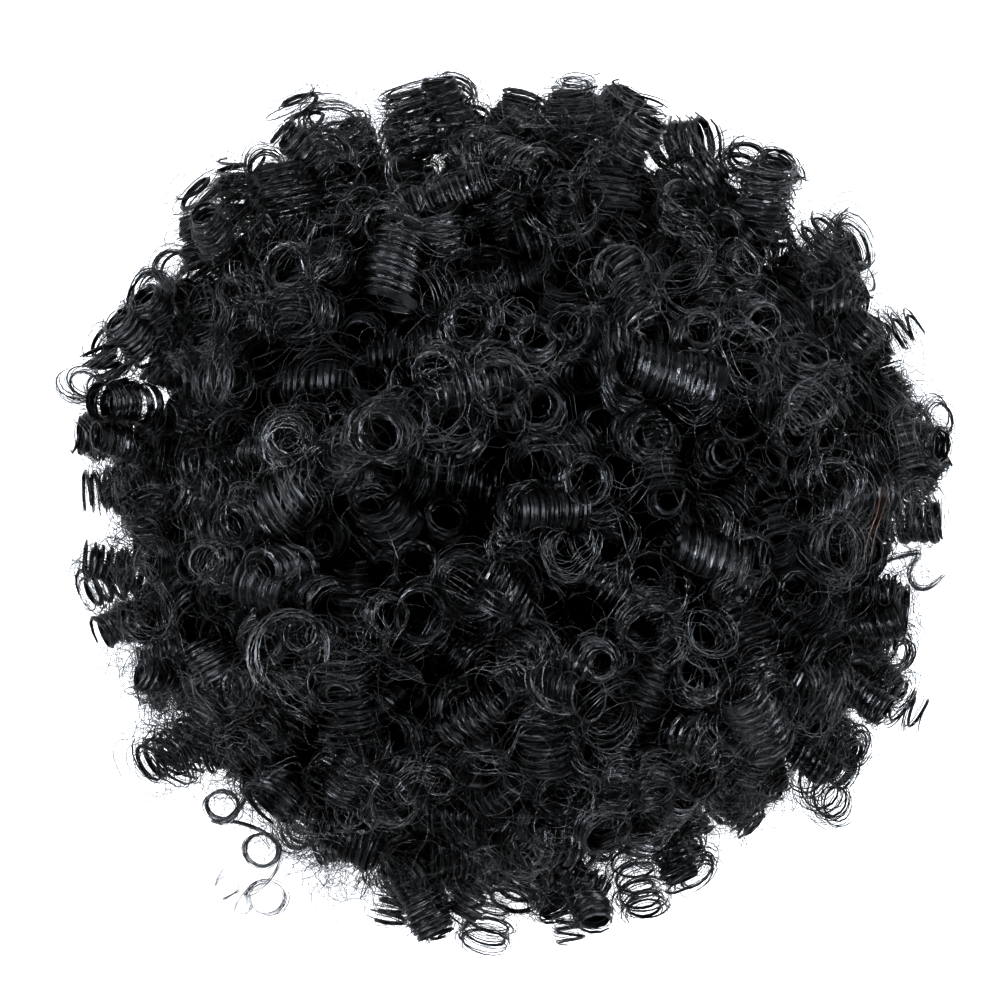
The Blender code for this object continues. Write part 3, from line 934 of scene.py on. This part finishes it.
def photo_place(pixel_x, pixel_y, height):
    """The place at a height that the camera shows at a pixel of the photograph: the pixels from the
    picture's middle times a pixel's size, which shrinks as the height nears the camera."""
    nearer = (camera_height - height) / (camera_height - widest_height) * metres_per_pixel
    return np.stack(np.broadcast_arrays(
        camera.location.x + (pixel_x - photo_side / 2) * nearer,
        camera.location.y + (photo_side / 2 - pixel_y) * nearer,
        height,
    ), axis=-1)


pixel_x, pixel_y, height, half_across, towards, upwards = strays.T[:6]
turns, length, breadth, aside_x, aside_y = strays.T[6:]
height, half_across, length = (x / 1000 for x in (height, half_across, length))
breadth = breadth * stray_breadth_more / 1000
middle = photo_place(pixel_x, pixel_y, height)
towards, upwards = np.radians(towards), np.radians(upwards)
axis = np.stack((
    np.cos(towards) * np.cos(upwards), np.sin(towards) * np.cos(upwards), np.sin(upwards),
), axis=-1)
stray_ringlets = lay_ringlets(
    middle, axis, length, half_across, breadth / stray_pitch_ratio,
    chance.uniform(0.15, 0.6, len(strays)), breadth * stray_depth_ratio, turns * stray_turns_more,
)
stray_ringlets["flare"] = stray_ringlets["flare"] * stray_flare_share
stray_ringlets["oval"] = stray_ringlets["oval"] * stray_oval_more
stray_ringlets["bend"] = np.stack((aside_x, aside_y, 0 * aside_x), axis=-1) * metres_per_pixel
root = middle - axis * (length / 2)[:, None] + stray_ringlets["bend"]
too_far = np.maximum(0, np.linalg.norm(root[:, :2], axis=1) - stray_root_reach)
stray_ringlets["bend"][:, :2] -= unit(root[:, :2]) * too_far[:, None]
stray_piece = add_surface(
    "strays",
    [
        clump_core(stray_ringlets, 60, 0.30),
        clump_strands(stray_ringlets, 5, 60, (0.7, 1.0), 0.40, (0.0003, 0.0005), 0.35, 2, 1),
        clump_strands(stray_ringlets, 10, 60, (0.4, 1.0), 0.45, (0.00012, 0.00020), 1.0, 1, 2),
    ],
    proud_fibres,
)
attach(stray_piece, "root")
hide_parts("curls")

# The loose ends: a few locks that have slipped right out of the puff. One at the lower left is
# a corkscrew pulled open, which loops three times and thins out into a faint loop. At the right
# are a hooked wisp and a stray hair of brown.
def looped_path(centres, radii, loops, points):
    """A path that goes round and round while its centre glides from each centre to the next."""
    along = np.linspace(0, len(centres) - 1, points)
    here = np.minimum(along.astype(int), len(centres) - 2)
    glide = np.clip((along - here - 0.3) / 0.4, 0, 1)
    glide = (glide**2 * (3 - 2 * glide))[:, None]
    centre = centres[here] * (1 - glide) + centres[here + 1] * glide
    radius = np.interp(along, np.arange(len(radii)), radii)
    turned = loops * full_turn * along / (len(centres) - 1)
    out = np.stack((np.cos(turned), 0.88 * np.sin(turned), 0.3 * np.cos(turned)), axis=-1)
    return centre + out * radius[:, None]


def smooth_path(corners, points):
    """A Catmull-Rom curve through corners: on each stretch a cubic through its two ends, whose
    slopes are half the way between the corners before and after them."""
    last = len(corners) - 1
    along = np.linspace(0, last, points)
    here = np.minimum(along.astype(int), last - 1)
    t = (along - here)[:, None]
    a, b, c, d = (corners[np.clip(here + k, 0, last)] for k in (-1, 0, 1, 2))
    bowed = (2 * a - 5 * b + 4 * c - d) * t**2 + (3 * b - a - 3 * c + d) * t**3
    return (2 * b + (c - a) * t + bowed) / 2


def strand_bundle(path, count, wander, width, slot):
    """Fibres that follow a path side by side, each set aside and wandering by a little."""
    share = np.broadcast_to(np.linspace(0, 1, len(path)), (count, len(path)))
    aside = np.stack([waver_at(share, wander, 9.0) for _ in range(3)], axis=-1)
    middle = path[None] + aside + chance.normal(0, wander * 0.7, (count, 1, 3))
    ends = np.sin(math.pi * (0.04 + 0.92 * share)) ** 0.5
    grid = face_away(middle, chance.uniform(*width, count)[:, None] / 2 * ends)
    return grid, fibre_uv(grid, 1), slot


def photo_route(route):
    """The places of a route's rows: pixels across and down, and a height in mm."""
    return photo_place(route[:, 0], route[:, 1], route[:, 2] / 1000)


# Each route's rows: pixels across and down the photograph, and a height in mm. The loops have the
# radius of each of their centres too.
corkscrew_route = np.array((
    (262, 775, 60), (222, 806, 42), (262, 850, 28), (266, 898, 14), (264, 896, 12),
))
corkscrew_radii = np.array((0.003, 0.0048, 0.0052, 0.0060, 0.0052))
faint_route = np.array(((264, 896, 12), (240, 903, 8), (226, 886, 7), (216, 866, 7)))
faint_radii = np.array((0.0052, 0.0034, 0.0036, 0.002))
hook_route = np.array((
    (885, 560, 52), (918, 552, 50), (911, 568, 48), (912, 582, 46), (925, 588, 45), (945, 575, 44),
))
brown_route = np.array((
    (866, 560, 98), (872, 532, 98), (880, 512, 96), (884, 496, 93), (889, 482, 90),
))
corkscrew = looped_path(photo_route(corkscrew_route), corkscrew_radii, -6.9, 220)
faint_loop = looped_path(photo_route(faint_route), faint_radii, 3.2, 90)
hook = smooth_path(photo_route(hook_route), 40)
brown = smooth_path(photo_route(brown_route), 30)
brown_fibre = fibre_material("brown_fibre", (0.060, 0.024, 0.010), 0.5, 0.35)
loose_ends = add_surface(
    "loose_ends",
    [
        strand_bundle(corkscrew[:122], 16, 0.00035, (0.0003, 0.0005), 0),
        strand_bundle(corkscrew[26:124], 5, 0.0009, (0.00012, 0.0002), 0),
        strand_bundle(corkscrew[100:], 6, 0.0007, (0.00014, 0.00022), 0),
        strand_bundle(faint_loop, 6, 0.0006, (0.00010, 0.00018), 1),
        strand_bundle(hook, 16, 0.0006, (0.00018, 0.0003), 0),
        strand_bundle(brown, 2, 0.0003, (0.00028, 0.00036), 2),
    ],
    (outer_fibre, loose_fibre, brown_fibre),
)
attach(loose_ends, "root")
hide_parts("curls")

# The flyaway: single fibres that have sprung out of the ringlets, in open loops and long arcs
# over the whole puff, and a thin frizz of the finest ones over its crown, round its outline and in
# webs between the ringlets there.
loop_count = 1300
arc_count = 400
over_count = 900
edge_count = 2500
web_count = 50
# Where each web is in the photograph, in pixels, and how far its fibres scatter.
webs = np.array((
    (318, 858), (300, 840), (335, 878), (118, 392), (130, 650), (448, 898), (748, 800), (922, 430),
))
web_scatter = 14


def loop_parts(spots, outwards, points, radius, turns, width, tilt):
    """Single fibres as open loops: a circle that shrinks or grows as it turns and climbs."""
    count = len(spots)
    axis = unit(outwards + chance.normal(0, tilt, (count, 3)))
    first = unit(np.cross(axis, chance.normal(size=(count, 3))))
    second = np.cross(axis, first)
    share = np.broadcast_to(np.linspace(0, 1, points), (count, points))
    hand = np.where(chance.random(count) < 0.5, 1.0, -1.0)
    turned = chance.uniform(*turns, count)[:, None] * full_turn * share * hand[:, None]
    turned = turned + chance.uniform(0, full_turn, count)[:, None]
    reach = chance.uniform(*radius, count)[:, None]
    reach = reach * (1 + chance.uniform(-0.4, 0.4, count)[:, None] * share + waver_at(share, 0.08, 11.0))
    out = first[:, None, :] * np.cos(turned)[..., None] + second[:, None, :] * np.sin(turned)[..., None]
    climb = chance.uniform(-0.6, 0.6, count)[:, None] * reach * share
    middle = spots[:, None, :] + out * reach[..., None] + axis[:, None, :] * climb[..., None]
    half_width = chance.uniform(*width, count)[:, None] / 2 * np.sin(math.pi * (0.08 + 0.84 * share))
    grid = face_away(middle, half_width)
    return grid, fibre_uv(grid, 1), 0


loop_spots, loop_outwards = proud_spots(loop_count, 0.65)
loop_spots = loop_spots + loop_outwards * chance.uniform(-0.009, 0.002, loop_count)[:, None]
arc_spots, arc_outwards = dome_spots(arc_count, scatter=0.01)
arc_spots = arc_spots - arc_outwards * chance.uniform(0.008, 0.016, arc_count)[:, None]
over_spots, over_outwards = dome_spots(over_count, 0.1, 0.55, scatter=0.02)
over_spots = over_spots + over_outwards * chance.uniform(-0.006, 0.004, over_count)[:, None]
edge_spots, edge_outwards = dome_spots(edge_count, 0.5, 0.9, scatter=0.02)
edge_spots = edge_spots + edge_outwards * chance.uniform(-0.008, 0.006, edge_count)[:, None]
web_fibres = len(webs) * web_count
web_x = np.repeat(webs[:, 0], web_count) + chance.normal(0, web_scatter, web_fibres)
web_y = np.repeat(webs[:, 1], web_count) + chance.normal(0, web_scatter, web_fibres)
web_spots = photo_place(web_x, web_y, chance.uniform(0.030, 0.055, web_fibres))
web_outwards = unit(web_spots - puff_heart)
flyaway = add_surface(
    "flyaway",
    [
        loop_parts(loop_spots, loop_outwards, 17, (0.003, 0.008), (0.4, 1.5), (0.00014, 0.00024), 0.5),
        loop_parts(arc_spots, arc_outwards, 12, (0.010, 0.022), (0.15, 0.4), (0.00015, 0.00024), 0.7),
        loop_parts(over_spots, over_outwards, 14, (0.003, 0.008), (0.3, 1.2), (0.00010, 0.00015), 0.9),
        loop_parts(edge_spots, edge_outwards, 14, (0.003, 0.008), (0.3, 1.2), (0.00010, 0.00018), 0.9),
        loop_parts(web_spots, web_outwards, 14, (0.003, 0.008), (0.4, 1.3), (0.00010, 0.00016), 0.9),
    ],
    (loose_fibre,),
)
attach(flyaway, "root")
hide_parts("curls")
